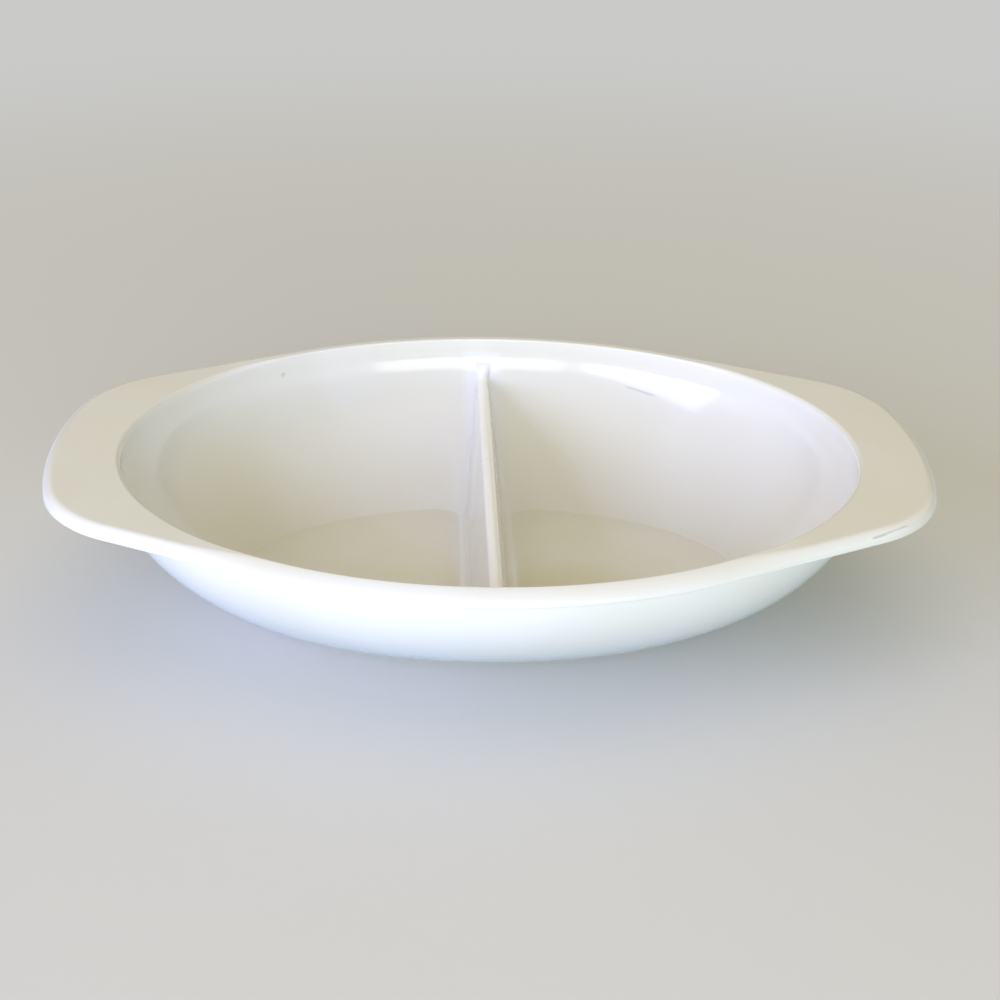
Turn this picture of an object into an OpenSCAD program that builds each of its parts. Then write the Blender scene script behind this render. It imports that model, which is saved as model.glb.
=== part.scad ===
// Divided serving bowl: an oval dish, moulded in one piece, with two compartments and a tab
// handle at each end. All lengths are in millimetres. The origin is on the table under the
// middle of the bowl. +Z is up, +X points along the long axis to the right, and -Y is the front.
// The moulding is split into its named features, which meet face to face.

/* [Mouth and rim] */
// Height of the bowl, from the table to the rim's top
bowl_h = 50; // [42:1:62]
// Length of the mouth, between the inner faces of the wall
mouth_l = 234; // [220:1:260]
// Width of the mouth, between the inner faces of the wall
mouth_w = 190; // [176:1:204]
// Radius of the roll from the rim's top into the wall
lip_r = 2.5; // [1:0.1:3]
// Width of the plain rim, from the wall's inner face to the outer edge
rim_w = 6; // [5.8:0.1:9]
// Thickness of the rim and of the handles
rim_t = 4; // [3.4:0.1:5]
// Radius of the rolled upper edge, all round the outside
edge_r = 3; // [1.5:0.1:3.4]
// Radius of the lower edge, all round the outside
under_r = 0.8; // [0.4:0.1:1.2]

/* [Handles] */
// Reach of a handle's tip beyond the wall's inner face
handle_reach = 23; // [18:1:32]
// Angle between a handle's slanting side and the long axis, in degrees
side_angle = 27; // [24:0.5:30]
// Radius of a handle's two corners
corner_r = 42; // [30:1:46]
// Radius of a handle's bowed end
end_r = 152; // [120:1:220]

/* [Wall] */
// Thickness of the wall where it meets the rim
wall_t = 3.2; // [2.6:0.1:4.5]
// Bow of the wall: 1 is a straight slope, and more is steeper at the top
wall_bow = 1.85; // [1.5:0.05:2.4]
// How far the wall's underside reaches out past the floor
wall_root = 4.2; // [3.4:0.1:6]
// Radius of the fillet between the wall's outside and the rim's underside
rim_fillet_r = 1.6; // [0.4:0.1:2]

/* [Floor and foot] */
// Length of the flat floor
floor_l = 164; // [150:1:178]
// Width of the flat floor
floor_w = 97; // [88:1:110]
// Thickness of the floor
floor_t = 2.8; // [2.2:0.1:4]
// Height of the standing ring
foot_h = 1.2; // [0.8:0.1:2]
// Width of the standing ring
foot_w = 3.5; // [2.6:0.1:5]
// How far the standing ring is set in from the wall's lower edge
foot_inset = 1.2; // [0.6:0.1:2.4]

/* [Divider] */
// Height of the divider above the floor
divider_h = 33; // [24:0.5:34]
// Thickness of the divider at its top
divider_t = 3.6; // [2.8:0.1:5]
// Slope of each side of the divider, in degrees from upright
divider_draft = 8; // [2:0.5:10]
// Radius of the divider's rounded top edges
divider_top_r = 1.2; // [0.6:0.1:1.3]
// Radius of the fillet between the divider and the floor
floor_fillet_r = 4; // [2:0.5:6]
// Radius of the fillet between the divider and the wall
wall_fillet_r = 5; // [3:0.5:6]

/* [Hidden] */

ivory = [0.93, 0.92, 0.86];
warm_ivory = [0.86, 0.84, 0.76];
cool_white = [0.92, 0.95, 0.96];

// Steps that round shapes are divided into
handle_steps = 20;
rim_steps = 9;
lip_steps = 5;
edge_steps = 6;
under_steps = 2;
fillet_steps = 4;
flank_steps = 5;
crown_steps = 3;
collar_steps = 2;
cove_steps = 3;
outer_steps = 10;

// The flat that is always left between the lip's roll and the outer edge's roll
least_flat = 0.2;

mouth_a = mouth_l / 2;
mouth_b = mouth_w / 2;
floor_a = floor_l / 2;
floor_b = floor_w / 2;
root_a = floor_a + wall_root;
root_b = floor_b + wall_root;
floor_z = foot_h + floor_t;
collar_z = bowl_h - rim_t;
divider_z = floor_z + divider_h;
roll_r = min(edge_r, rim_w - lip_r - least_flat, rim_t - under_r - least_flat);
cove_r = min(rim_fillet_r, rim_w - under_r - least_flat - wall_t);

// Plan geometry. An oval has half-axes a and b, and t is the angle that runs round it.

function on_oval(a, b, t) = [a * cos(t), b * sin(t)];
function oval_normal(a, b, t) = let (v = [cos(t) / a, sin(t) / b]) v / norm(v);
function oval_outline(a, b, steps) = [for (i = [0 : steps - 1]) on_oval(a, b, 360 * i / steps)];

// A handle's side leaves the plain rim along a tangent, where the rim's normal is the side's.
side_normal = [sin(side_angle), cos(side_angle)];
side_t = atan2(mouth_b * side_normal.y, mouth_a * side_normal.x);
side_start = on_oval(mouth_a, mouth_b, side_t) + rim_w * side_normal;
side_way = [side_normal.y, -side_normal.x];

// The end is an arc about end_centre. The corner is an arc that touches both end and side.
end_centre = [mouth_a + handle_reach - end_r, 0];
corner_from = side_start - corner_r * side_normal - end_centre;
corner_along = corner_from * side_way;
side_l = sqrt(pow(corner_along, 2) - corner_from * corner_from + pow(end_r - corner_r, 2))
    - corner_along;
corner_centre = side_start + side_l * side_way - corner_r * side_normal;
corner_start = corner_centre + corner_r * (corner_centre - end_centre) / (end_r - corner_r);
corner_end = side_start + side_l * side_way;

function turn(u, v) = u.x * v.y - u.y * v.x;

// Distance along a ray from p, in the direction u, to the far side of a circle
function to_circle(p, u, centre, r) =
    let (v = p - centre, along = v * u) sqrt(along * along - v * v + r * r) - along;

// The outer edge opposite the mouth at t, from 0 to 90: [its place, its normal]
function quarter_edge(t) =
    let (p = on_oval(mouth_a, mouth_b, t), u = oval_normal(mouth_a, mouth_b, t))
    t >= side_t ? [p + rim_w * u, u]
    : turn(u, corner_start - p) > 0
        ? let (q = p + u * to_circle(p, u, end_centre, end_r)) [q, (q - end_centre) / end_r]
    : turn(u, corner_end - p) < 0
        ? [p + u * ((side_start - p) * side_normal) / (u * side_normal), side_normal]
    : let (q = p + u * to_circle(p, u, corner_centre, corner_r)) [q, (q - corner_centre) / corner_r];

function flipped(v, way) = [v.x, way * v.y];
function outer_edge(t) =
    let (way = t < 0 ? -1 : 1, e = quarter_edge(abs(t))) [flipped(e[0], way), flipped(e[1], way)];

// Stations from -end_t to end_t round the right half, closer together beside a handle's side
function stations(end_t) = [
    for (j = [-handle_steps - rim_steps : handle_steps + rim_steps])
        let (k = abs(j), rest = (k - handle_steps) / rim_steps)
        sign(j) * (k <= handle_steps ? side_t * k / handle_steps : side_t + (end_t - side_t) * rest)
];

// A level ring of points: the right half, then the left. Each half stops gap short of the
// middle plane, so that the ring has an edge as wide as the divider's root at front and back.
function ring(a, b, gap, z) =
    let (right = [for (t = stations(acos(gap / a))) on_oval(a, b, t)])
    concat([for (p = right) [p.x, p.y, z]], [for (p = right) [-p.x, -p.y, z]]);

// A solid swept through sections, which are loops of the same number of points. The ends are
// "joined" to each other, "flat", or closed in "strips" from one side of the loop to the other.
module sweep(sections, ends) {
    count = len(sections);
    size = len(sections[0]);
    last = (count - 1) * size;
    spans = ends == "joined" ? count : count - 1;
    sides = [
        for (s = [0 : spans - 1], p = [0 : size - 1])
            let (
                a = s * size + p,
                b = s * size + (p + 1) % size,
                c = ((s + 1) % count) * size + (p + 1) % size,
                d = ((s + 1) % count) * size + p
            )
            each [[a, b, c], [a, c, d]]
    ];
    flats = ends == "flat"
        ? [[for (p = [size - 1 : -1 : 0]) p], [for (p = [0 : size - 1]) last + p]] : [];
    strips = ends == "strips" ? [
        for (p = [0 : size / 2 - 2])
            let (q = size - 1 - p)
            each [
                [p + 1, p, q], [p + 1, q, q - 1],
                [last + p, last + p + 1, last + q - 1], [last + p, last + q - 1, last + q]
            ]
    ] : [];
    points = [for (s = sections) each s];
    polyhedron(points, concat(sides, flats, strips));
}

// Divider. A row is a line along it: [height share, height, swell of the side, set-in at the top].
// The height share is of the plain flank, and the rest are lengths.

function arc_swell(r, d) = d >= r ? 0 : r - sqrt(r * r - pow(r - d, 2));

divider_rows = concat(
    [
        for (k = [0 : fillet_steps])
            let (q = 90 * k / fillet_steps)
            [0, floor_fillet_r * (1 - cos(q)), floor_fillet_r * (1 - sin(q)), 0]
    ],
    [for (k = [1 : flank_steps]) [k / flank_steps, floor_fillet_r, 0, 0]],
    [
        for (k = [1 : crown_steps])
            let (q = 90 * k / crown_steps)
            [1, floor_fillet_r + divider_top_r * sin(q), 0, divider_top_r * (1 - cos(q))]
    ]
);

function row_z(row, d) =
    let (flank = divider_h + arc_swell(wall_fillet_r, d) - floor_fillet_r - divider_top_r)
    floor_z + row[1] + row[0] * flank;
function row_x(row, d) =
    let (lean = max(0, divider_z - row_z(row, d)) * tan(divider_draft))
    divider_t / 2 + lean + norm([row[2], arc_swell(wall_fillet_r, d)]) - row[3];

// Inner face of the wall at a height: how much of the way in to the floor's oval it has come
function inner_share(z) = pow(max(0, collar_z - z) / (collar_z - floor_z), wall_bow);
function inner_a(z) = mouth_a - (mouth_a - floor_a) * inner_share(z);
function inner_b(z) = mouth_b - (mouth_b - floor_b) * inner_share(z);
function wall_y(x, z) = inner_b(z) * sqrt(1 - pow(x / inner_a(z), 2));

// Outer face of the wall in the same way, with its fillet under the rim
function outer_share(z) = pow((collar_z - z) / (collar_z - foot_h), wall_bow);
function outer_reach(inner, root, z) =
    inner + wall_t - (inner + wall_t - root) * outer_share(z) + arc_swell(cove_r, collar_z - z);
function outer_ring(z) =
    ring(outer_reach(mouth_a, root_a, z), outer_reach(mouth_b, root_b, z), mouth_gap, z);

// One side of the divider's section, from the floor up, at a distance d from the wall
function divider_side(d, end) = [
    for (row = divider_rows)
        let (y = wall_y(row_x(row, 0), row_z(row, 0)) - d) [row_x(row, d), end * y, row_z(row, d)]
];
function divider_section(d, end) =
    let (side = divider_side(d, end), top = len(side) - 1)
    concat(side, [for (k = [top : -1 : 0]) [-side[k].x, side[k].y, side[k].z]]);

module divider() {
    reaches = [
        for (k = [0 : fillet_steps]) wall_fillet_r * (1 - cos(90 * k / fillet_steps))
    ];
    front = [for (d = reaches) divider_section(d, -1)];
    back = [for (k = [fillet_steps : -1 : 0]) divider_section(reaches[k], 1)];
    color(ivory) sweep(concat(front, back), "strips");
}

// Wall. Its inner rings follow the divider's rows, so that the divider's ends fit it exactly.
root_rows = [for (row = divider_rows) [row_z(row, 0), row_x(row, 0)]];
crown_row = root_rows[len(root_rows) - 1];
mouth_gap = crown_row[1];
floor_gap = root_rows[0][1];

module basin_wall() {
    inner = concat(
        [for (row = root_rows) ring(inner_a(row[0]), inner_b(row[0]), row[1], row[0])],
        [
            for (k = [1 : collar_steps])
                let (z = crown_row[0] + (collar_z - crown_row[0]) * k / collar_steps)
                ring(inner_a(z), inner_b(z), mouth_gap, z)
        ]
    );
    cove = [for (k = [0 : cove_steps]) outer_ring(collar_z - cove_r * (1 - cos(90 * k / cove_steps)))];
    outer = [
        for (k = [1 : outer_steps])
            let (z = collar_z - cove_r + (foot_h - collar_z + cove_r) * k / outer_steps)
            outer_ring(z)
    ];
    heel = [ring(floor_a, floor_b, floor_gap, foot_h)];
    levels = concat(inner, cove, outer, heel);
    color(cool_white) sweep(
        [for (i = [0 : len(levels[0]) - 1]) [for (level = levels) level[i]]], "joined");
}

module basin_floor() {
    outline = [for (p = ring(floor_a, floor_b, floor_gap, 0)) [p.x, p.y]];
    color(warm_ivory) translate([0, 0, foot_h]) linear_extrude(floor_t) polygon(outline);
}

module foot_ring() {
    steps = 4 * (handle_steps + rim_steps);
    a = root_a - foot_inset;
    b = root_b - foot_inset;
    color(cool_white) linear_extrude(foot_h) difference() {
        polygon(oval_outline(a, b, steps));
        polygon(oval_outline(a - foot_w, b - foot_w, steps));
    }
}

// Rim and handles. One section runs from the collar up the lip, over the flat top, round the
// outer edge and back under. way is 1 for the right half and -1 for the left.
function flange_section(t, way) =
    let (
        p = on_oval(mouth_a, mouth_b, t),
        u = oval_normal(mouth_a, mouth_b, t),
        e = outer_edge(t),
        lip = [
            for (k = [0 : lip_steps])
                let (q = 90 * k / lip_steps) [p + u * lip_r * (1 - cos(q)), bowl_h - lip_r * (1 - sin(q))]
        ],
        roll = [
            for (k = [0 : edge_steps])
                let (q = 90 * k / edge_steps) [e[0] - e[1] * roll_r * (1 - sin(q)), bowl_h - roll_r * (1 - cos(q))]
        ],
        under = [
            for (k = [0 : under_steps])
                let (q = 90 * k / under_steps)
                [e[0] - e[1] * under_r * (1 - cos(q)), collar_z + under_r * (1 - sin(q))]
        ]
    )
    [for (s = concat([[p, collar_z]], lip, roll, under)) [way * s[0].x, way * s[0].y, s[1]]];

flange_t = stations(acos(mouth_gap / mouth_a));

// The plain stretch of rim between the handles. way is 1 for the back and -1 for the front.
module plain_rim(way) {
    last = len(flange_t) - 1;
    first = [for (i = [last - rim_steps : last]) flange_section(flange_t[i], way)];
    second = [for (i = [0 : rim_steps]) flange_section(flange_t[i], -way)];
    color(ivory) sweep(concat(first, second), "flat");
}

module handle(way) {
    first = rim_steps;
    last = rim_steps + 2 * handle_steps;
    color(warm_ivory) sweep([for (i = [first : last]) flange_section(flange_t[i], way)], "flat");
}

module front_rim() plain_rim(-1);
module back_rim() plain_rim(1);
module left_handle() handle(-1);
module right_handle() handle(1);

basin_wall();
basin_floor();
foot_ring();
divider();
front_rim();
back_rim();
left_handle();
right_handle();
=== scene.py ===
"""Divided serving bowl in glossy ivory melamine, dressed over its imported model.

Each named feature of the moulding gets a fine smooth surface in the place of its flat-faced
solid, worked out from the same sizes, and a melamine finish. Lengths are in metres.
"""

import math

import bpy
import numpy as np
from mathutils import Matrix, Vector


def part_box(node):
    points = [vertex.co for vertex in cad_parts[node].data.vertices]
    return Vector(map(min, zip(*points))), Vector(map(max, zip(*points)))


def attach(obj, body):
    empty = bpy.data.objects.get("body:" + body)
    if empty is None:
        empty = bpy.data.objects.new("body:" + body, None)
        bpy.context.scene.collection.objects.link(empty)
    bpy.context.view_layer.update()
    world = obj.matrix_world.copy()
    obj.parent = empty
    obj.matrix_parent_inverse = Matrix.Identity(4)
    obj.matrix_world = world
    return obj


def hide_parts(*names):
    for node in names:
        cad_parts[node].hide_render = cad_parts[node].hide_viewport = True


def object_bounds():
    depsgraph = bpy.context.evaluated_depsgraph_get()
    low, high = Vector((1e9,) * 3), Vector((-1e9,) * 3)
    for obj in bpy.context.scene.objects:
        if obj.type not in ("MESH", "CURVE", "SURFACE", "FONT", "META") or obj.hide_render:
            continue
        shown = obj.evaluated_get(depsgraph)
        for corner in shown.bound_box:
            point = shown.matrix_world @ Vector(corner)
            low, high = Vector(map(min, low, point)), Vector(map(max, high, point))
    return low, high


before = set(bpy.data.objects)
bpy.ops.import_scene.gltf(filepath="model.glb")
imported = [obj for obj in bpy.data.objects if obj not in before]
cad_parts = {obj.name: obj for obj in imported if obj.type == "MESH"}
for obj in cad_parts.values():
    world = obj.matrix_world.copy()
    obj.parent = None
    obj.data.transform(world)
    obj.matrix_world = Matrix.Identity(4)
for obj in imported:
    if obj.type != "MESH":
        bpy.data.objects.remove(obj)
cad_low, cad_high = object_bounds()

MM = 0.001
QUARTER = math.pi / 2

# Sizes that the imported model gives
tip_x = cad_high.x
bowl_h = cad_high.z
collar_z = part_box("basin_wall")[1].z
floor_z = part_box("basin_floor")[1].z
floor_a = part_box("basin_floor")[1].x
foot_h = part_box("foot_ring")[1].z
foot_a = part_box("foot_ring")[1].x
foot_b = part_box("foot_ring")[1].y

# Mouth and rim
mouth_a = 117 * MM
mouth_b = 95 * MM
rim_w = cad_high.y - mouth_b
lip_r = 1.6 * MM
roll_w = 3.5 * MM
roll_h = 3 * MM
under_r = 0.4 * MM

# Plain rim: its lip, its roll along the front, the power by which that roll falls away, and the
# sines of the mouth's angle between which a handle runs out into it
bead_lip_r = 0.6 * MM
bead_roll_w = 5.25 * MM
bead_fall = 0.64
bead_from = 0.68
bead_to = 0.83

# Handles
side_angle = math.radians(27)
corner_r = 42 * MM
end_r = 152 * MM

# Wall, floor and foot
wall_t = 3.2 * MM
wall_bow = 1.85
wall_root = 4.2 * MM
cove_r = 2 * MM
heel_r = 0.8 * MM
floor_b = 48.5 * MM
foot_w = 3.5 * MM
foot_edge_r = 0.5 * MM
crease_blend = 0.5 * MM

# Divider
divider_h = 33 * MM
divider_t = 3.6 * MM
divider_lean = math.tan(math.radians(8))
divider_top_r = 1.7 * MM
floor_fillet_r = 4 * MM
crown_fillet_r = 8 * MM
wall_fillet_low_r = 10 * MM
wall_fillet_top_r = 4.5 * MM
crown_z = floor_z + divider_h


def arc_swell(radius, distance):
    """How far a fillet stands out at a distance from the face it meets: the radius less the
    height of its quarter circle there, and nothing past the radius."""
    short = radius - np.clip(distance, 0, radius)
    return radius - np.sqrt(np.maximum(radius**2 - short**2, 0))


def steps(first, last, count):
    """count + 1 evenly spaced values from first to last."""
    return np.linspace(first, last, count + 1)


def stretches(counts):
    """Values of a parameter that runs through the stretches 0 to 1, 1 to 2 and so on, with as
    many even steps in each as counts says."""
    parts = [number + steps(0, 1, count)[:-1] for number, count in enumerate(counts)]
    return np.concatenate([*parts, [len(parts)]])


def place(x, y, z):
    """Points from their three coordinates, as one array with a last axis of three."""
    return np.stack(np.broadcast_arrays(x, y, z), -1)


def unit(vectors):
    """Vectors made one long. A zero vector stays zero."""
    return vectors / np.maximum(np.linalg.norm(vectors, axis=-1, keepdims=True), 1e-30)


# Plan of the rim and handles


def mouth(t):
    """Oval of the wall's inner face: half-axes mouth_a and mouth_b times cosine and sine of t."""
    return np.stack([mouth_a * np.cos(t), mouth_b * np.sin(t)], -1)


def mouth_normal(t):
    """Unit normal of that oval: cosine over mouth_a and sine over mouth_b, made one long."""
    return unit(np.stack([np.cos(t) / mouth_a, np.sin(t) / mouth_b], -1))


# The handle in the right back quarter. Its corner's arc touches the straight side, and touches
# the end's arc from inside, which gives the side's length from a quadratic.
side_normal = np.array([math.sin(side_angle), math.cos(side_angle)])
side_t = math.atan2(mouth_b * side_normal[1], mouth_a * side_normal[0])
side_start = mouth(side_t) + rim_w * side_normal
side_way = np.array([side_normal[1], -side_normal[0]])
end_centre = np.array([tip_x - end_r, 0])
centres_gap = end_r - corner_r
corner_from = side_start - corner_r * side_normal - end_centre
corner_along = corner_from @ side_way
side_l = math.sqrt(corner_along**2 - corner_from @ corner_from + centres_gap**2) - corner_along
corner_end = side_start + side_l * side_way
corner_centre = corner_end - corner_r * side_normal
corner_start = corner_centre + corner_r * (corner_centre - end_centre) / centres_gap


def turn(u, v):
    """Positive where v lies anticlockwise of u: the flat cross product."""
    return u[..., 0] * v[..., 1] - u[..., 1] * v[..., 0]


def to_circle(point, way, centre, radius):
    """Distance along way from a point inside a circle to the circle, from the quadratic."""
    v = point - centre
    along = (v * way).sum(-1)
    return np.sqrt(np.maximum(along**2 - (v * v).sum(-1) + radius**2, 0)) - along


# An angle this little short of side_t still counts as the plain rim's
ANGLE_SLACK = 1e-9


def outer_edge(t):
    """Outer edge opposite the mouth at t, as (place, normal). One quarter is worked out and
    reflected. The mouth's normal is followed for rim_w along the plain rim, and beyond that to
    the handle's straight side, its corner's arc or its end's arc."""
    fold = np.stack([np.where(np.cos(t) < 0, -1, 1), np.where(np.sin(t) < 0, -1, 1)], -1)
    q = np.arctan2(np.abs(np.sin(t)), np.abs(np.cos(t)))
    p, way = mouth(q), mouth_normal(q)
    plain = p + rim_w * way
    side = p + way * (((side_start - p) @ side_normal) / (way @ side_normal))[..., None]
    corner = p + way * to_circle(p, way, corner_centre, corner_r)[..., None]
    end = p + way * to_circle(p, way, end_centre, end_r)[..., None]
    cases = [
        (q >= side_t - ANGLE_SLACK)[..., None],
        (turn(way, corner_start - p) > 0)[..., None],
        (turn(way, corner_end - p) < 0)[..., None],
    ]
    edge = np.select(cases, [plain, end, side], corner)
    normal = np.select(
        cases,
        [way, (end - end_centre) / end_r, np.broadcast_to(side_normal, p.shape)],
        (corner - corner_centre) / corner_r,
    )
    return edge * fold, normal * fold


# Stretches of a flange section, in the order in which its first parameter passes them, and how
# many steps each has
RISE, LIP, TOP, ROLL, EDGE, UNDER, BASE = range(7)
FLANGE_STEPS = {RISE: 2, LIP: 16, TOP: 6, ROLL: 26, EDGE: 1, UNDER: 8, BASE: 6}


def flange(u, t):
    """Rim and handle section u swept round t. Up the mouth's face, outwards by the lip's quarter
    circle, a flat and the roll's quarter ellipse, down the edge, round a quarter circle of
    under_r, and back. Where a handle runs out into the plain rim, the lip narrows. Along the front
    the roll also widens to almost the whole rim and falls away sooner, by a lower power."""
    stretch = np.clip(np.floor(u), RISE, BASE)
    f = u - stretch
    q = QUARTER * f
    at = [stretch == s for s in FLANGE_STEPS]
    plain = np.clip((np.abs(np.sin(t)) - bead_from) / (bead_to - bead_from), 0, 1)
    plain = plain * plain * (3 - 2 * plain)
    bead = plain * (np.sin(t) < 0)
    lip = lip_r + (bead_lip_r - lip_r) * plain
    roll = roll_w + (bead_roll_w - roll_w) * bead
    out = np.select([at[LIP], at[TOP]], [lip * (1 - np.cos(q)), lip], 0)
    inset = np.select(
        [at[TOP], at[ROLL], at[UNDER], at[BASE]],
        [roll, roll * (1 - np.sin(q)), under_r * (1 - np.cos(q)), under_r],
        0,
    )
    across = np.select([at[TOP], at[ROLL] | at[EDGE] | at[UNDER], at[BASE]], [f, 1, 1 - f], 0)
    edge_h = bowl_h - roll_h - collar_z - under_r
    z = np.select(
        at,
        [
            collar_z + f * (bowl_h - lip - collar_z),
            bowl_h - lip * (1 - np.sin(q)),
            bowl_h,
            bowl_h - roll_h * (1 - np.cos(q)) ** (1 - (1 - bead_fall) * bead),
            bowl_h - roll_h - f * edge_h,
            collar_z + under_r * (1 - np.sin(q)),
            collar_z,
        ],
    )
    edge, edge_normal = outer_edge(t)
    near = mouth(t) + mouth_normal(t) * out[..., None]
    far = edge - edge_normal * inset[..., None]
    plan = near + (far - near) * across[..., None]
    return place(plan[..., 0], plan[..., 1], z)


# Divider. Its first parameter climbs the foot's fillet up to 1, the flank up to 2 and the rounded
# edge up to 3, in the steps of CLIMB, and then crosses the top to the middle at 4.
CLIMB = stretches((20, 24, 14))


def row_z(w, d):
    """Height of row w at distance d from the wall. The crown climbs the wall by its fillet."""
    q = QUARTER * (w - np.clip(np.floor(w), 0, 2))
    flank = divider_h + arc_swell(crown_fillet_r, d) - floor_fillet_r - divider_top_r
    foot = floor_fillet_r * (1 - np.cos(np.where(w < 1, q, QUARTER)))
    crown = divider_top_r * np.sin(np.clip(QUARTER * (w - 2), 0, QUARTER))
    return floor_z + foot + flank * np.clip(w - 1, 0, 1) + crown


def row_x(w, d):
    """Half thickness at row w and distance d from the wall: the leaning flank, with both fillets
    added as the sides of a right angle, less the rounded edge. The wall's fillet narrows evenly
    up the flank. The top closes to the middle."""
    to_wall = wall_fillet_low_r + (wall_fillet_top_r - wall_fillet_low_r) * np.clip(w - 1, 0, 1)
    lean = np.maximum(0, crown_z - row_z(w, d)) * divider_lean
    foot = floor_fillet_r * (1 - np.sin(np.clip(QUARTER * w, 0, QUARTER)))
    rounded = divider_top_r * (1 - np.cos(np.clip(QUARTER * (w - 2), 0, QUARTER)))
    side = divider_t / 2 + lean + np.hypot(foot, arc_swell(to_wall, d)) - rounded
    return side * np.clip(4 - w, 0, 1)


def inner_reach(z):
    """Half-axes of the wall's inner face at a height: the mouth's, less a power of the depth."""
    share = (np.clip(collar_z - z, 0, None) / (collar_z - floor_z)) ** wall_bow
    return mouth_a - (mouth_a - floor_a) * share, mouth_b - (mouth_b - floor_b) * share


def outer_reach(z):
    """Half-axes of the wall's outer face: the same power, with a cove at its top under the rim and
    a rounded heel at its bottom."""
    share = (np.clip(collar_z - z, 0, None) / (collar_z - foot_h)) ** wall_bow
    rounding = arc_swell(cove_r, collar_z - z) - arc_swell(heel_r, z - foot_h)
    top_a, top_b = mouth_a + wall_t, mouth_b + wall_t
    root_a, root_b = floor_a + wall_root, floor_b + wall_root
    return top_a - (top_a - root_a) * share + rounding, top_b - (top_b - root_b) * share + rounding


def divider_side(w, e):
    """One side of the divider: row w carried from the front wall to the back wall by e, with a
    fillet's quarter circle in the first and the last third."""
    q = QUARTER * np.where(e < 1, e, np.where(e > 2, 3 - e, 1))
    d = wall_fillet_low_r * (1 - np.cos(q))
    a, b = inner_reach(row_z(w, 0))
    wall_y = b * np.sqrt(1 - (row_x(w, 0) / a) ** 2)
    y = (wall_y - d) * np.clip(2 * e - 3, -1, 1)
    return place(row_x(w, d), y, row_z(w, d))


# Wall and floor


def wall_normal(points):
    """Inward normal of the wall's inner face, for points on it or close to it: the gradient of
    the oval's equation, with the half-axes' own change with height."""
    x, y, z = np.moveaxis(points, -1, 0)
    a, b = inner_reach(z)
    tiny = 1e-6
    higher_a, higher_b = inner_reach(z + tiny)
    change = ((x / higher_a) ** 2 + (y / higher_b) ** 2 - (x / a) ** 2 - (y / b) ** 2) / tiny
    return unit(-place(2 * x / a**2, 2 * y / b**2, change))


def inner_wall(z, t):
    """Oval of the inner half-axes at height z, lifted near the floor so that it blends in."""
    a, b = inner_reach(z)
    lift = np.maximum(crease_blend - (z - floor_z), 0) ** 2 / (4 * crease_blend)
    return place(a * np.cos(t), b * np.sin(t), z + lift)


def outer_wall(z, t):
    """Oval of the outer half-axes at height z."""
    a, b = outer_reach(z)
    return place(a * np.cos(t), b * np.sin(t), z)


def floor_top(share, t):
    """Flat oval, lifted near its edge by the same blend. The wall's slope, carried on inwards,
    gives the depth that the blend counts."""
    run_a = wall_bow * (mouth_a - floor_a) / (collar_z - floor_z) / floor_a
    run_b = wall_bow * (mouth_b - floor_b) / (collar_z - floor_z) / floor_b
    depth = (1 - share) / (run_a * np.cos(t) ** 2 + run_b * np.sin(t) ** 2)
    lift = np.maximum(crease_blend - depth, 0) ** 2 / (4 * crease_blend)
    return place(share * floor_a * np.cos(t), share * floor_b * np.sin(t), floor_z + lift)


def level_oval(reach_a, reach_b, z):
    """Shape of two parameters: an oval at one height, grown by its first parameter."""
    return lambda grow, t: place((reach_a + grow) * np.cos(t), (reach_b + grow) * np.sin(t), z)


# Steps along the standing ring's outer face, outer edge, underside, inner edge, inner face and top
FOOT_STEPS = (2, 8, 4, 8, 2, 4)


def foot_section(u, t):
    """Standing ring: down its outer face, round an edge, across, round an edge, up, and back along
    the top. Edges are quarter circles of foot_edge_r."""
    stretch = np.clip(np.floor(u), 0, len(FOOT_STEPS) - 1)
    f = u - stretch
    q = QUARTER * f
    r = foot_edge_r
    at = [stretch == s for s in range(len(FOOT_STEPS))]
    inset = np.select(
        at,
        [
            0,
            r * (1 - np.cos(q)),
            r + f * (foot_w - 2 * r),
            foot_w - r * (1 - np.sin(q)),
            foot_w,
            foot_w * (1 - f),
        ],
    )
    z = np.select(
        at,
        [
            foot_h + f * (r - foot_h),
            r * (1 - np.sin(q)),
            0,
            r * (1 - np.cos(q)),
            r + f * (foot_h - r),
            foot_h,
        ],
    )
    return place((foot_a - inset) * np.cos(t), (foot_b - inset) * np.sin(t), z)


# Steps along the right half, the divider's back end, the left half and its front end
RING_STEPS = (150, 12, 150, 12)


def ring_angles(half_gap, reach_a):
    """Angles once round an oval: the right half, the strip behind the divider's back end, the
    left half, and the front strip. half_gap is half a strip's width, in one value for each row."""
    stop = np.arccos(half_gap / reach_a)[..., None]
    corners = [-stop, stop, math.pi - stop, math.pi + stop, 2 * math.pi - stop]
    parts = [
        corners[i] + (corners[i + 1] - corners[i]) * steps(0, 1, count)[:-1]
        for i, count in enumerate(RING_STEPS)
    ]
    return np.concatenate(parts + [corners[4]], -1)


# Patches: grids of points, each with the normals of its own formula


def patch(shape, u, v, flip=False):
    """Grid of shape(u, v). Normals are the cross product of small central differences, turned to
    agree with the way round of the faces, which flip reverses."""
    u, v = np.broadcast_arrays(np.asarray(u, float), np.asarray(v, float))
    tiny = 1e-7
    along_u = shape(u + tiny, v) - shape(u - tiny, v)
    along_v = shape(u, v + tiny) - shape(u, v - tiny)
    return as_patch(shape(u, v), np.cross(along_u, along_v), flip)


def as_patch(points, normals, flip=False):
    """Points and normals on a grid, with the normals made one long and turned to the faces."""
    normals = unit(normals)
    faces = np.cross(points[1:, :-1] - points[:-1, :-1], points[:-1, 1:] - points[:-1, :-1])
    if (faces * normals[:-1, :-1]).sum() < 0:
        normals = -normals
    if flip:
        points, normals = points[::-1], -normals[::-1]
    return points, normals


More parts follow.
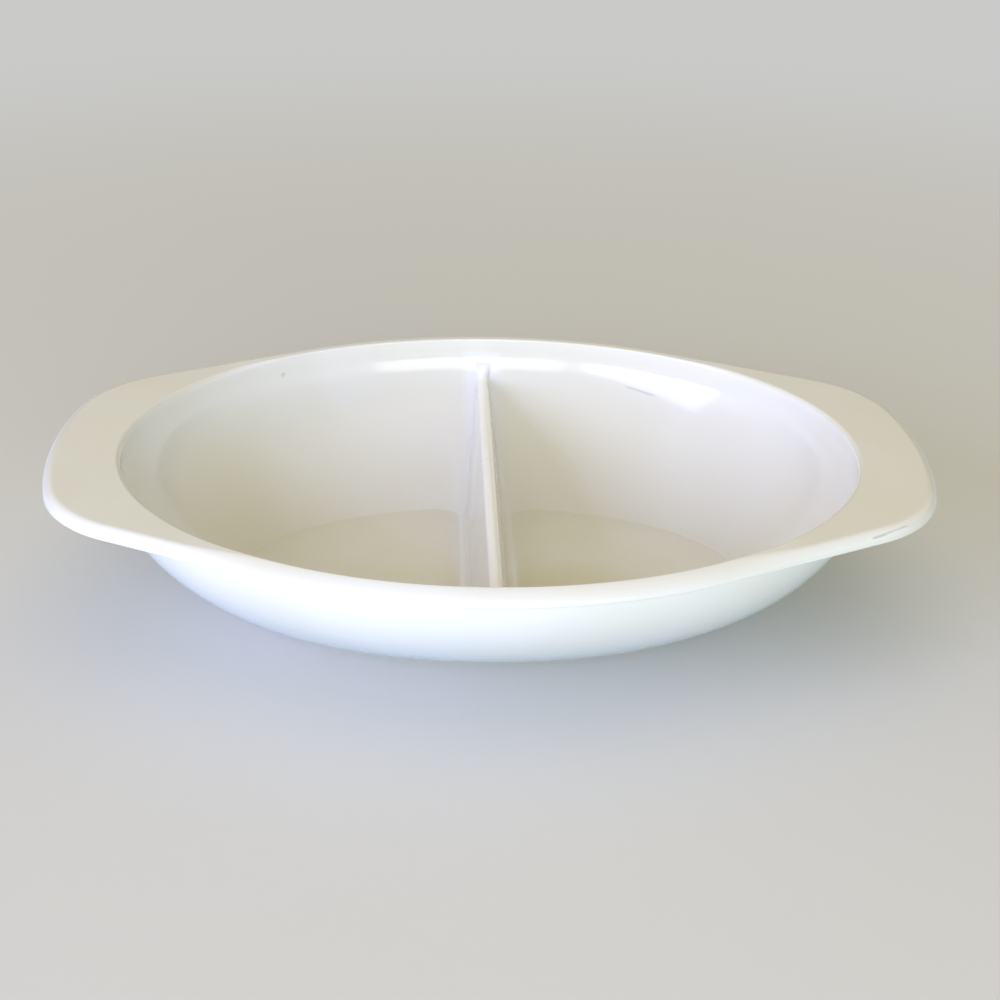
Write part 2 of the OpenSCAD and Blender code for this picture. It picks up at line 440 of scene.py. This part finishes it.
def facing(points, normals):
    """Patch with known normals: one for all its points, or one for each column."""
    return as_patch(points, np.broadcast_to(normals, points.shape))


def ruled(first, second, flip=False):
    """Strip straight across between two edges of the same count, with each step's flat normal."""
    points = np.stack([first, second], 1)
    normals = np.cross(points[1:, 0] - points[:-1, 0], points[:-1, 1] - points[:-1, 0])
    normals = np.concatenate([normals, normals[-1:]])
    return as_patch(points, np.stack([normals, normals], 1), flip)


def patch_faces(points, first):
    """Corner numbers of a grid's quads, counted from first."""
    rows, columns = points.shape[:2]
    number = first + np.arange(rows * columns).reshape(rows, columns)
    corners = [number[:-1, :-1], number[1:, :-1], number[1:, 1:], number[:-1, 1:]]
    return np.stack([c.ravel() for c in corners], -1)


# Points that round to the same multiples of this are joined
WELD = 0.0001 * MM


def moulding(name, node, patches, finish, caps=()):
    """One closed mesh from patches and flat caps. Points that meet are joined, and every face
    corner keeps the normal of its own patch, so that a seam between features doesn't show."""
    points, normals, corners, sizes, count = [], [], [], [], 0
    for grid, grid_normals in patches:
        corners.append(patch_faces(grid, count).ravel())
        sizes.append(np.full(len(corners[-1]) // 4, 4))
        points.append(grid.reshape(-1, 3))
        normals.append(grid_normals.reshape(-1, 3))
        count += len(points[-1])
    for loop, normal in caps:
        corners.append(count + np.arange(len(loop)))
        sizes.append(np.array([len(loop)]))
        points.append(loop)
        normals.append(np.tile(normal, (len(loop), 1)))
        count += len(loop)
    points, normals, corners, sizes = map(np.concatenate, (points, normals, corners, sizes))
    key = np.round(points / WELD).astype(np.int64)
    _, kept, joined = np.unique(key, axis=0, return_index=True, return_inverse=True)
    joined = joined.ravel()
    # A corner that falls on the one before it in its face goes, and so does a face left with two.
    face = np.repeat(np.arange(len(sizes)), sizes)
    starts = np.cumsum(sizes) - sizes
    before = np.arange(len(corners)) - 1
    before[starts] = starts + sizes - 1
    real = joined[corners] != joined[corners[before]]
    real &= np.bincount(face, real)[face] >= 3
    sizes = np.bincount(face[real], minlength=len(sizes))
    sizes, corners = sizes[sizes > 0], corners[real]
    mesh = bpy.data.meshes.new(name)
    mesh.vertices.add(len(kept))
    mesh.vertices.foreach_set("co", points[kept].astype(np.float32).ravel())
    mesh.loops.add(len(corners))
    mesh.loops.foreach_set("vertex_index", joined[corners].astype(np.int32))
    mesh.polygons.add(len(sizes))
    mesh.polygons.foreach_set("loop_start", (np.cumsum(sizes) - sizes).astype(np.int32))
    mesh.polygons.foreach_set("use_smooth", np.ones(len(sizes), bool))
    mesh.update(calc_edges=True)
    mesh.normals_split_custom_set(normals[corners].tolist())
    mesh.materials.append(finish)
    piece = bpy.data.objects.new(name, mesh)
    bpy.context.scene.collection.objects.link(piece)
    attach(piece, "root")
    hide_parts(node)


# Finishes


class Signal:
    """A value that varies over the surface. Arithmetic on it adds the Math nodes for it."""

    def __init__(self, nodes, socket):
        self.nodes = nodes
        self.socket = socket

    def math(self, operation, *values):
        return self.nodes.node("ShaderNodeMath", {"operation": operation}, dict(enumerate(values)))

    def __add__(self, other):
        return self.math("ADD", self, other)

    __radd__ = __add__

    def __sub__(self, other):
        return self.math("SUBTRACT", self, other)

    def __rsub__(self, other):
        return self.math("SUBTRACT", other, self)

    def __mul__(self, other):
        return self.math("MULTIPLY", self, other)

    __rmul__ = __mul__

    def __truediv__(self, other):
        return self.math("DIVIDE", self, other)

    def __pow__(self, other):
        return self.math("POWER", self, other)

    def __abs__(self):
        return self.math("ABSOLUTE", self)

    def at_least(self, other):
        return self.math("MAXIMUM", self, other)

    def fade(self, low, high):
        """Smoothly from 0 at low to 1 at high."""
        settings = {"interpolation_type": "SMOOTHSTEP"}
        return self.nodes.node("ShaderNodeMapRange", settings, {0: self, 1: low, 2: high})

    def wane(self, low, high):
        """Smoothly from 1 at low to 0 at high."""
        return 1 - self.fade(low, high)


class Nodes:
    """A node tree, and the calls that add to it."""

    def __init__(self, tree):
        self.tree = tree
        tree.nodes.clear()

    def node(self, kind, settings=None, inputs=None, output=0):
        """Adds a node: its settings first, then the values or links of its sockets."""
        made = self.tree.nodes.new(kind)
        for key, value in (settings or {}).items():
            setattr(made, key, value)
        for key, value in (inputs or {}).items():
            if isinstance(value, Signal):
                self.tree.links.new(value.socket, made.inputs[key])
            else:
                made.inputs[key].default_value = value
        return Signal(self, made.outputs[output]) if len(made.outputs) else None

    def axis(self, vector, name):
        """One coordinate of a vector."""
        return self.node("ShaderNodeSeparateXYZ", inputs={0: vector}, output=name)

    def vector(self, operation, *values, output=0):
        """Vector Math. Output 0 is a vector, and output 1 a number, such as a length."""
        settings = {"operation": operation}
        return self.node("ShaderNodeVectorMath", settings, dict(enumerate(values)), output)

    def blend(self, share, first, second):
        """Colour that goes from first to second as share goes from 0 to 1. The sockets for
        colours are the Mix node's inputs 6 and 7 and its output 2."""
        settings = {"data_type": "RGBA"}
        return self.node("ShaderNodeMix", settings, {0: share, 6: first, 7: second}, 2)


class Finish(Nodes):
    """A material, with the patterns that it is made of, laid by the piece's own place."""

    def __init__(self, name):
        self.material = bpy.data.materials.new(name)
        self.material.use_nodes = True
        super().__init__(self.material.node_tree)
        self.place = self.node("ShaderNodeTexCoord", output="Object")
        self.normal = self.node("ShaderNodeTexCoord", output="Normal")

    def noise(self, scale, detail=2, where=None):
        """Soft noise around 0.5, with scale features to the metre."""
        inputs = {"Vector": where or self.place, "Scale": scale, "Detail": detail}
        return self.node("ShaderNodeTexNoise", inputs=inputs)

    def streaks(self, angle, fine, long, threshold):
        """Thin straight scratches: noise squeezed to fine across and long along, turned by
        angle about the upright axis, and kept only at its peaks."""
        inputs = {"Vector": self.place, "Rotation": (0, 0, angle), "Scale": (fine, long, long)}
        where = self.node("ShaderNodeMapping", inputs=inputs)
        return self.noise(1, 1, where).fade(threshold, threshold + 0.04)

    def specks(self, per_metre, radius, share):
        """Small round inclusions: cells of a random lattice, of which a share hold one."""
        inputs = {"Vector": self.place, "Scale": per_metre}
        near = self.node("ShaderNodeTexVoronoi", inputs=inputs)
        chance = self.node("ShaderNodeTexVoronoi", inputs=inputs, output="Color")
        chosen = self.axis(chance, "X").fade(1 - share, 1 - share + 0.01)
        return near.wane(radius * per_metre * 0.5, radius * per_metre) * chosen

    def mark(self, first, last, width, depth):
        """A short straight scuff between two places: depth on its line, 0 at width from it."""
        first, last = Vector(first), Vector(last)
        length = (last - first).length
        way = (last - first) / length
        step = self.vector("SUBTRACT", self.place, first)
        along = self.vector("DOT_PRODUCT", step, way, output=1)
        away = self.vector("LENGTH", step, output=1)
        aside = (away * away - along * along).at_least(0) ** 0.5
        within = along.fade(0, length * 0.2) * along.wane(length * 0.8, length)
        return aside.wane(width * 0.3, width) * within * depth

    def done(self, inputs, height, depth):
        """Ends the finish in a glossy shell, with height as its relief of the given depth, and
        returns its material."""
        relief = {"Strength": 1, "Distance": depth, "Height": height}
        inputs = dict(inputs, Normal=self.node("ShaderNodeBump", inputs=relief))
        shell = self.node("ShaderNodeBsdfPrincipled", inputs=inputs)
        self.node("ShaderNodeOutputMaterial", inputs={0: shell})
        return self.material


def colour(red, green, blue):
    """Linear colour from screen values of 0 to 255."""
    screen = np.array([red, green, blue]) / 255
    linear = np.where(screen <= 0.04045, screen / 12.92, ((screen + 0.055) / 1.055) ** 2.4)
    return (*linear.tolist(), 1)


PALE = colour(233, 232, 230)
CREAM = colour(228, 225, 214)
# Painted light: a paler colour for the divider's crown
CROWN_PAINTED_LIGHT = colour(249, 248, 243)
# Painted shade: a yellowish tint for the places that lie in shade
PAINTED_SHADE = colour(212, 206, 180)
GREY_SCUFF = colour(120, 116, 108)
SPECK = colour(140, 128, 104)

# How much painted shade, a yellowish tint, each place takes
LOW_PAINTED_SHADE = 0.22
FLOOR_PAINTED_SHADE = 0.4
HANDLE_TOP_PAINTED_SHADE = 0.34
DIVIDER_SHADOW_PAINTED = 0.24
LEFT_END_PAINTED_SHADE = 0.14

# Knife marks: their angle, the scales of noise across and along them, and the least noise that
# shows as a mark
KNIFE_MARKS = (
    (0.5, 2600, 26, 0.70),
    (2.2, 2200, 22, 0.71),
    (1.35, 3000, 34, 0.72),
)

# Short scuffs: where each begins and ends, its width, and how dark it is
SCUFFS = (
    ((0.0505, 0.0828, 0.0372), (0.0630, 0.0765, 0.0354), 0.6 * MM, 0.25),
    ((0.1098, -0.0623, 0.0485), (0.1151, -0.0594, 0.0487), 0.5 * MM, 0.4),
    ((0.1135, -0.0603, 0.0488), (0.1230, -0.0538, 0.0489), 0.45 * MM, 0.3),
    ((-0.0720, 0.0748, 0.0430), (-0.0708, 0.0755, 0.0444), 0.9 * MM, 0.25),
)


def painted_shade_tint(f, height, across, level):
    """How strongly a patchy yellowish tint of painted shade shows: low on the walls, on the floor,
    on the upward faces of the handles and their lip, as a painted shadow beside the divider in
    the right compartment, and at the left compartment's end."""
    aside = abs(across)
    # Painted shade low on the walls, away from the divider, and on the floor
    low = height.wane(floor_z, floor_z + 20 * MM) * aside.fade(8 * MM, 14 * MM)
    flat = level.fade(0.92, 0.97) * height.wane(floor_z + 0.5 * MM, floor_z + MM)
    # Painted shade on the upward faces of the handles and on their lip
    oval = (across / mouth_a) ** 2 + (f.axis(f.place, "Y") / mouth_b) ** 2
    lip_top = level.fade(0.2, 0.5) * oval.wane(1.03, 1.05)
    handle_tops = lip_top.at_least(level.fade(0.93, 0.99)) * height.fade(bowl_h - 2 * MM, bowl_h - MM)
    handle_tops = handle_tops * aside.fade(80 * MM, 95 * MM)
    # Painted shadow of the divider, beside it in the right compartment
    divider_shadow = across.fade(0.5 * MM, 2.5 * MM) * across.wane(12 * MM, 55 * MM)
    divider_shadow = divider_shadow * height.wane(20 * MM, 38 * MM)
    # Painted shade at the left compartment's end, where the wall faces away from the light
    left_end = (-1 * across).fade(60 * MM, 100 * MM) * height.wane(25 * MM, 44 * MM)
    shade_paint = low * LOW_PAINTED_SHADE + flat * FLOOR_PAINTED_SHADE + handle_tops * HANDLE_TOP_PAINTED_SHADE
    shade_paint = shade_paint + divider_shadow * DIVIDER_SHADOW_PAINTED + left_end * LEFT_END_PAINTED_SHADE
    patchy = 0.9 + (f.noise(30, 4) - 0.5) * 0.8
    return shade_paint * patchy


def melamine(name):
    """Pressed melamine, off-white and creamier in clouds away from the divider, which with the
    wall beside it is kept pale as painted light, and with painted shade in a patchy yellowish
    tint.
    The divider's crown is painted paler still, as painted light. Over it lie rare dark inclusions,
    knife marks, scuffs, smudges, wear under the foot and a rippled skin."""
    f = Finish(name)
    height = f.axis(f.place, "Z")
    across = f.axis(f.place, "X")
    aside = abs(across)
    level = f.axis(f.normal, "Z")
    inside = level.fade(-0.05, 0.1)
    under_rim = height.wane(crown_z + 7 * MM, collar_z)
    # Painted light: the divider and the wall beside it are kept pale, without the cream clouds
    divider_painted_pale = aside.wane(4 * MM, 9 * MM) * inside * under_rim
    clouds = f.noise(11, 3).fade(0.3, 0.7) * (1 - divider_painted_pale)
    # Painted shade: a patchy yellowish tint where the bowl lies in shade
    shade_paint = painted_shade_tint(f, height, across, level) * inside
    # Painted light: the divider's crown is painted paler
    crown = level.fade(0.35, 0.8) * aside.wane(2.2 * MM, 3.2 * MM) * under_rim
    crown = crown * height.fade(crown_z - 3 * MM, crown_z - 1.5 * MM)
    specks = f.specks(per_metre=70, radius=0.35 * MM, share=0.05)
    knife = sum(f.streaks(*marks) for marks in KNIFE_MARKS)
    knife = knife * inside * height.wane(floor_z, floor_z + 12 * MM)
    scuff = sum(f.mark(*line) for line in SCUFFS)
    worn_foot = height.wane(0.1 * MM, 0.5 * MM) * f.noise(160, 4).fade(0.4, 0.6)
    smudges = f.noise(34, 4).fade(0.35, 0.75)
    shade = f.blend(clouds, PALE, CREAM)
    # Blends in the painted shade
    shade = f.blend(shade_paint, shade, PAINTED_SHADE)
    shade = f.blend(crown * 0.9, shade, CROWN_PAINTED_LIGHT)
    shade = f.blend(specks * 0.7, shade, SPECK)
    shade = f.blend(knife * 0.03 + scuff + worn_foot * 0.35, shade, GREY_SCUFF)
    roughness = 0.105 + smudges * 0.05 + knife * 0.1 + scuff * 0.4 + worn_foot * 0.4
    ripple = f.noise(24, 1) - knife * 0.004
    inputs = {"Base Color": shade, "Roughness": roughness, "IOR": 1.52}
    return f.done(inputs, height=ripple, depth=0.1 * MM)


# The eight features


def flange_piece(name, node, start, stop, columns, finish):
    """A stretch of rim or a handle from angle start to stop, with a flat cap at each end."""
    u = stretches(FLANGE_STEPS.values())
    grid = patch(flange, u[:, None], steps(start, stop, columns)[None, :])
    first, last = grid[0][:-1, 0], grid[0][:-1, -1]
    caps = [(first[::-1], cap_normal(first, start, -1)), (last, cap_normal(last, stop, 1))]
    moulding(name, node, [grid], finish, caps)


def cap_normal(loop, t, side):
    """Unit normal of a flat loop across the rim at angle t: towards greater angles where side is
    1, and towards lesser ones where it is -1."""
    third = len(loop) // 3
    normal = unit(np.cross(loop[third] - loop[0], loop[2 * third] - loop[0]))
    onwards = np.array([-math.sin(t), math.cos(t), 0])
    return normal if normal @ onwards * side > 0 else -normal


def make_wall(finish):
    """Inner face, a flat top under the rim, outer face, a flat heel, and the floor's contact.
    Returns the angles of the lowest row, from which the floor goes on."""
    rows_above = 3
    z = np.concatenate([row_z(CLIMB, 0), steps(row_z(3, 0), collar_z, rows_above)[1:]])
    gap = np.concatenate([row_x(CLIMB, 0), np.full(rows_above, row_x(3, 0))])
    angles = ring_angles(gap, inner_reach(z)[0])
    inside = patch(inner_wall, z[:, None], angles)
    cove = collar_z - cove_r * (1 - np.cos(QUARTER * steps(0, 1, 14)))
    heel = foot_h + heel_r * (1 - np.cos(QUARTER * steps(1, 0, 8)))
    down = np.concatenate([cove, steps(cove[-1], heel[0], 26)[1:-1], heel])
    outside = patch(outer_wall, down[:, None], angles[-1][None, :])
    lowest = angles[0]
    foot_line = level_oval(floor_a, floor_b, foot_h)(0, lowest)
    top = facing(np.stack([inside[0][-1], outside[0][0]]), (0, 0, 1))
    under = facing(np.stack([outside[0][-1], foot_line]), (0, 0, -1))
    inwards = place(-np.cos(lowest), -np.sin(lowest), 0)
    contact = facing(np.stack([foot_line, inside[0][0]]), inwards)
    moulding("wall_shell", "basin_wall", [inside, outside, top, under, contact], finish)
    return lowest


def make_floor(angles, finish):
    """Blended top, a side that meets the wall, and a flat underside, with a cap at each middle."""
    cap_share, fine_share = 0.05, 0.9
    share = np.concatenate([steps(cap_share, fine_share, 22)[:-1], steps(fine_share, 1, 12)])
    top = patch(floor_top, share[:, None], angles[None, :])
    grow = -floor_b * (1 - share[::-1])
    base = patch(level_oval(floor_a, floor_b, foot_h), grow[:, None], angles[None, :])
    outwards = place(np.cos(angles), np.sin(angles), 0)
    side = facing(np.stack([top[0][-1], base[0][0]]), outwards)
    caps = [(top[0][0][:-1], (0, 0, 1)), (base[0][-1][:-1][::-1], (0, 0, -1))]
    moulding("floor_plate", "basin_floor", [top, side, base], finish, caps)


def make_foot(finish):
    """The standing ring, swept once round."""
    t = steps(0, 2 * math.pi, 360)
    ring = patch(foot_section, stretches(FOOT_STEPS)[:, None], t[None, :])
    moulding("standing_foot", "foot_ring", [ring], finish)


# Steps along the divider's front fillet, its straight middle and its back fillet
DIVIDER_STEPS = (24, 40, 24)

# The divider's formula has no slope at its edges, so its normals are taken a little inside them
EDGE_INSET = 1e-4
TOP_INSET = 1e-3

# Share of a fillet over which the divider's normals turn into the wall's own
SEAM_SHARE = 0.4


def make_divider(finish):
    """Two mirrored sides that meet along the top, closed underneath and at both ends."""
    w = np.concatenate([CLIMB, [3.5, 4]])
    w, e = np.broadcast_arrays(w[:, None], stretches(DIVIDER_STEPS)[None, :])
    right = divider_side(w, e)
    inset_w = np.clip(w, EDGE_INSET, 4 - TOP_INSET)
    own = patch(divider_side, inset_w, np.clip(e, EDGE_INSET, 3 - EDGE_INSET))[1]
    share = np.clip(1 - np.minimum(e, 3 - e) / SEAM_SHARE, 0, 1)[..., None] ** 2
    normals = own * (1 - share) - wall_normal(right) * share
    right_side = as_patch(right, normals, flip=True)
    across = np.array([-1, 1, 1])
    left_side = as_patch(right * across, normals * across)
    edges = [right[:, 0], right[:, -1], right[0]]
    closing = [ruled(edge, edge * across, flip) for edge, flip in zip(edges, (False, True, True))]
    moulding("divider_rib", "divider", [right_side, left_side, *closing], finish)


finish = melamine("melamine")
floor_angles = make_wall(finish)
make_floor(floor_angles, finish)
make_foot(finish)
make_divider(finish)

tab_columns = 260
bead_columns = 130
back_t = math.pi - side_t
front_t = math.pi + side_t
flange_piece("right_tab", "right_handle", -side_t, side_t, tab_columns, finish)
flange_piece("back_bead", "back_rim", side_t, back_t, bead_columns, finish)
flange_piece("left_tab", "left_handle", back_t, front_t, tab_columns, finish)
flange_piece("front_bead", "front_rim", front_t, 2 * math.pi - side_t, bead_columns, finish)


# Floor, light and camera


BACKDROP = colour(202, 202, 201)
table_reach = 5.0
backdrop_from = 0.25
backdrop_to = 0.85


def make_table():
    """A plain pale floor under the bowl, with a faint mottle. The camera sees it neutral, and
    sees it pass into the plain backdrop from backdrop_from to backdrop_to away."""
    f = Finish("pale_floor")
    mottle = f.noise(3, 3)
    seen = f.node("ShaderNodeLightPath", output="Is Camera Ray")
    shade = f.blend(mottle, colour(204, 215, 222), colour(210, 221, 226))
    shade = f.blend(seen, shade, f.blend(mottle, colour(214, 213, 210), colour(218, 217, 213)))
    matt = f.node("ShaderNodeBsdfDiffuse", inputs={"Color": shade})
    plain = f.node("ShaderNodeEmission", inputs={"Color": BACKDROP})
    far = f.vector("LENGTH", f.place, output=1).fade(backdrop_from, backdrop_to)
    mixed = f.node("ShaderNodeMixShader", inputs={0: seen * far, 1: matt, 2: plain})
    f.node("ShaderNodeOutputMaterial", inputs={0: mixed})
    r = table_reach
    mesh = bpy.data.meshes.new("studio_floor")
    mesh.from_pydata([(-r, -r, 0), (r, -r, 0), (r, r, 0), (-r, r, 0)], [], [(0, 1, 2, 3)])
    mesh.materials.append(f.material)
    table = bpy.data.objects.new("studio_floor", mesh)
    bpy.context.scene.collection.objects.link(table)


def upright_lamp(name, first, last, low, high, glow, tint):
    """A soft lit rectangle from low to high, standing between two places on the ground and turned
    to the bowl. Its power is pi times its glow times its area."""
    first, last = Vector(first), Vector(last)
    middle = (first + last) / 2 + Vector((0, 0, (low + high) / 2))
    along = last - first
    facing_bowl = Vector((along.y, -along.x, 0))
    if facing_bowl.dot(middle) > 0:
        facing_bowl = -facing_bowl
    width, height = along.length, high - low
    light = bpy.data.lights.new(name, "AREA")
    light.shape = "RECTANGLE"
    light.size, light.size_y = width, height
    light.energy = math.pi * glow * width * height
    light.color = tint
    made = bpy.data.objects.new(name, light)
    turned = facing_bowl.to_track_quat("-Z", "Y").to_matrix().to_4x4()
    made.matrix_world = Matrix.Translation(middle) @ turned
    bpy.context.scene.collection.objects.link(made)


# A window stands to the left and forward, in a plane along Y, and a broad pale screen in front.
# Each has its two feet, its lower and upper edge, its glow and its tint.
WINDOW = ((-1.2, -0.5, 0), (-1.2, -2.6, 0), 0.03, 1.12, 6.15, (0.55, 0.60, 1.0))
SCREEN = ((-0.5, -1.5, 0), (0.85, -1.5, 0), 0.03, 0.8, 3.58, (0.89, 0.97, 1.0))

# The room's own light: overhead, at the sides of the room, and low down in it
ROOM_TOP = (1.06, 1.00, 0.90, 1)
ROOM_FRONT = (0.15, 0.15, 0.15, 1)
ROOM_BACK = (0.71, 0.65, 0.39, 1)
ROOM_LOW_FRONT = (1.50, 1.54, 1.50, 1)
ROOM_LOW_RIGHT = (0.86, 1.00, 1.16, 1)
ROOM_LOW_BACK = (0.25, 0.25, 0.25, 1)


def make_room():
    """A soft room, lit by direction and faded from part to part. The camera sees the backdrop."""
    world = bpy.data.worlds.new("soft_room")
    bpy.context.scene.world = world
    world.use_nodes = True
    room = Nodes(world.node_tree)
    way = room.node("ShaderNodeTexCoord", output="Generated")
    rise, towards_back, towards_right = (room.axis(way, name) for name in "ZYX")
    overhead = rise.fade(0.75, 0.95)
    low = rise.wane(0.2, 0.45)
    back = towards_back.fade(-0.5, 0.2)
    glow = room.blend(back, ROOM_FRONT, ROOM_BACK)
    low_front = room.blend(towards_right.fade(0.2, 0.7), ROOM_LOW_FRONT, ROOM_LOW_RIGHT)
    glow = room.blend(low, glow, room.blend(back, low_front, ROOM_LOW_BACK))
    glow = room.blend(overhead, glow, ROOM_TOP)
    glow = room.blend(room.node("ShaderNodeLightPath", output="Is Camera Ray"), glow, BACKDROP)
    lit = room.node("ShaderNodeBackground", inputs={"Color": glow, "Strength": 1})
    room.node("ShaderNodeOutputWorld", inputs={0: lit})


# The photograph's view: turned from the front, raised, tilted a little, and shifted so that the
# bowl's middle falls on middle_px of a picture image_px wide and high
camera_turn = math.radians(-2.13)
camera_rise = math.radians(26.11)
camera_tilt = math.radians(-1.14)
camera_distance = 0.6208
focal_px = 1907.8
image_px = 1000
middle_px = (489.0, 515.8)


def make_camera():
    """The camera in the photograph's place, turned to the bowl's middle."""
    back = Vector((
        math.sin(camera_turn) * math.cos(camera_rise),
        -math.cos(camera_turn) * math.cos(camera_rise),
        math.sin(camera_rise),
    ))
    right = Vector((math.cos(camera_turn), math.sin(camera_turn), 0))
    up = back.cross(right)
    tilted_right = right * math.cos(camera_tilt) - up * math.sin(camera_tilt)
    tilted_up = right * math.sin(camera_tilt) + up * math.cos(camera_tilt)
    lens = bpy.data.cameras.new("view")
    lens.sensor_width = 36
    lens.lens = focal_px * lens.sensor_width / image_px
    lens.shift_x = (image_px / 2 - middle_px[0]) / image_px
    lens.shift_y = (middle_px[1] - image_px / 2) / image_px
    lens.clip_start = 0.01
    camera = bpy.data.objects.new("view", lens)
    turned = Matrix((tilted_right, tilted_up, back)).transposed().to_4x4()
    stand = Vector((0, 0, bowl_h / 2)) + back * camera_distance
    camera.matrix_world = Matrix.Translation(stand) @ turned
    bpy.context.scene.collection.objects.link(camera)
    bpy.context.scene.camera = camera


upright_lamp("window", *WINDOW)
upright_lamp("front_screen", *SCREEN)
make_room()
make_table()
make_camera()

bpy.context.scene.view_settings.view_transform = "Standard"
